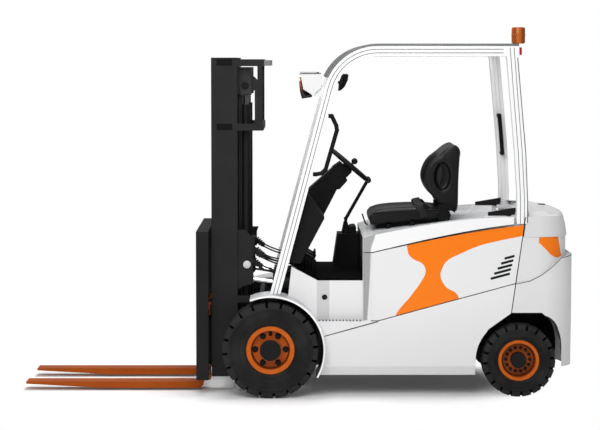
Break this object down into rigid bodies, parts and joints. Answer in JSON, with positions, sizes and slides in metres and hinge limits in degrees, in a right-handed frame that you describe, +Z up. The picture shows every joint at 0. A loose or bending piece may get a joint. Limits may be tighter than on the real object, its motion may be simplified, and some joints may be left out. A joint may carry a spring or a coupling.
{
  "type": "electric counterbalance forklift",
  "caption": "Four-wheel counterbalance forklift with a two-stage tilting mast, sliding forks, overhead guard, driver's seat on a hinged hood and steered rear wheels.",
  "frame": {"origin": "on the ground, halfway along the overall length and on the truck's centre plane", "axes": "+X to the rear of the truck (the forks point to -X), -Y to its left side, +Z up"},
  "size_m": [3.4, 1.186, 2.265],
  "materials": {
    "body_paint": "gloss white paint",
    "cast_paint": "gloss white paint on a casting",
    "grey_paint": "satin grey paint",
    "black_paint": "satin black paint",
    "mast_paint": "satin black paint",
    "fork_paint": "satin burnt orange paint",
    "rim_paint": "satin burnt orange paint",
    "black_plastic": "matte",
    "black_mat": "ribbed rubber",
    "lamp_body": "gloss",
    "amber": "clear amber",
    "red_lens": "clear red",
    "battery": "satin grey paint",
    "seat_cover": "matte black",
    "tyre": "matte",
    "chrome": "polished",
    "steel": "oiled"
  },
  "bodies": {
    "chassis": {"chassis_frame": "body_paint", "front_fenders": "body_paint", "floor_plate": "black_mat", "front_cowl": "black_plastic", "side_panels": "body_paint", "counterweight": "cast_paint", "rear_cover": "body_paint", "overhead_guard": "body_paint", "roof_bars": "grey_paint", "lever_console": "black_plastic", "control_levers": "black_plastic", "pedals": "black_paint", "grab_handles": "black_plastic", "headlights": "lamp_body", "beacon": "amber", "rear_lamps": "red_lens", "view_mirror": "black_plastic", "battery_block": "battery", "drive_axle": "black_paint", "steer_axle": "black_paint"},
    "hood": {"hood": "body_paint", "hood_hinges": "black_paint", "seat_base": "black_plastic", "seat_cushion": "seat_cover", "seat_backrest": "seat_cover"},
    "steering": {"steering_wheel": "black_plastic"},
    "front_wheel_left": {"front_tyre_left": "tyre", "front_rim_left": "rim_paint"},
    "front_wheel_right": {"front_tyre_right": "tyre", "front_rim_right": "rim_paint"},
    "steer_left": {"knuckle_left": "black_paint"},
    "steer_right": {"knuckle_right": "black_paint"},
    "rear_wheel_left": {"rear_tyre_left": "tyre", "rear_rim_left": "rim_paint"},
    "rear_wheel_right": {"rear_tyre_right": "tyre", "rear_rim_right": "rim_paint"},
    "outer_mast": {"outer_mast": "mast_paint", "lift_barrels": "mast_paint", "rear_chains": "steel"},
    "inner_mast": {"inner_mast": "mast_paint", "lift_rods": "chrome", "front_chains": "steel"},
    "carriage": {"carriage": "mast_paint", "load_backrest": "mast_paint"},
    "fork_left": {"fork_left": "fork_paint"},
    "fork_right": {"fork_right": "fork_paint"},
    "tilt_barrels": {"tilt_barrels": "black_paint"},
    "tilt_rods": {"tilt_rods": "chrome"}
  },
  "joints": [
    {"name": "front_wheel_left_spin", "type": "hinge", "parent": "chassis", "child": "front_wheel_left", "pos_m": [-0.166, -0.48, 0.296], "axis": [0, 1, 0], "continuous": true},
    {"name": "front_wheel_right_spin", "type": "hinge", "parent": "chassis", "child": "front_wheel_right", "pos_m": [-0.166, 0.48, 0.296], "axis": [0, 1, 0], "continuous": true},
    {"name": "steer_left_turn", "type": "hinge", "parent": "chassis", "child": "steer_left", "pos_m": [1.357, -0.365, 0.225], "axis": [0, 0, 1], "range_deg": [-65, 65]},
    {"name": "steer_right_turn", "type": "hinge", "parent": "chassis", "child": "steer_right", "pos_m": [1.357, 0.365, 0.225], "axis": [0, 0, 1], "range_deg": [-65, 65]},
    {"name": "rear_wheel_left_spin", "type": "hinge", "parent": "steer_left", "child": "rear_wheel_left", "pos_m": [1.357, -0.465, 0.225], "axis": [0, 1, 0], "continuous": true},
    {"name": "rear_wheel_right_spin", "type": "hinge", "parent": "steer_right", "child": "rear_wheel_right", "pos_m": [1.357, 0.465, 0.225], "axis": [0, 1, 0], "continuous": true},
    {"name": "steering_wheel_turn", "type": "hinge", "parent": "chassis", "child": "steering", "pos_m": [0.332, 0, 1.3964], "axis": [0.6468, 0, 0.7627], "continuous": true},
    {"name": "hood_open", "type": "hinge", "parent": "chassis", "child": "hood", "pos_m": [1.326, 0, 1.1], "axis": [0, 1, 0], "range_deg": [0, 60]},
    {"name": "mast_tilt", "type": "hinge", "parent": "chassis", "child": "outer_mast", "pos_m": [-0.166, 0, 0.296], "axis": [0, 1, 0], "range_deg": [-6, 10]},
    {"name": "mast_lift", "type": "slide", "parent": "outer_mast", "child": "inner_mast", "axis": [0, 0, 1], "range_m": [0, 1.5], "deforming": ["rear_chains"]},
    {"name": "carriage_lift", "type": "slide", "parent": "inner_mast", "child": "carriage", "axis": [0, 0, 1], "range_m": [0, 1.5], "deforming": ["front_chains"]},
    {"name": "fork_left_slide", "type": "slide", "parent": "carriage", "child": "fork_left", "axis": [0, -1, 0], "range_m": [-0.14, 0.15]},
    {"name": "fork_right_slide", "type": "slide", "parent": "carriage", "child": "fork_right", "axis": [0, 1, 0], "range_m": [-0.14, 0.15]},
    {"name": "tilt_cylinder_swing", "type": "hinge", "parent": "chassis", "child": "tilt_barrels", "pos_m": [0.09, 0, 0.645], "axis": [0, 1, 0], "range_deg": [-3.2, 5.2]},
    {"name": "tilt_rod_slide", "type": "slide", "parent": "tilt_barrels", "child": "tilt_rods", "axis": [-0.9884, 0, 0.1521], "range_m": [-0.07, 0.044]}
  ],
  "couplings": [
    {"joint": "steer_right_turn", "follows": "steer_left_turn", "ratio": 1},
    {"joint": "carriage_lift", "follows": "mast_lift", "ratio": 1},
    {"joint": "tilt_cylinder_swing", "follows": "mast_tilt", "ratio": 0.4925},
    {"joint": "tilt_rod_slide", "follows": "mast_tilt", "m_per_rad": -0.38789}
  ]
}
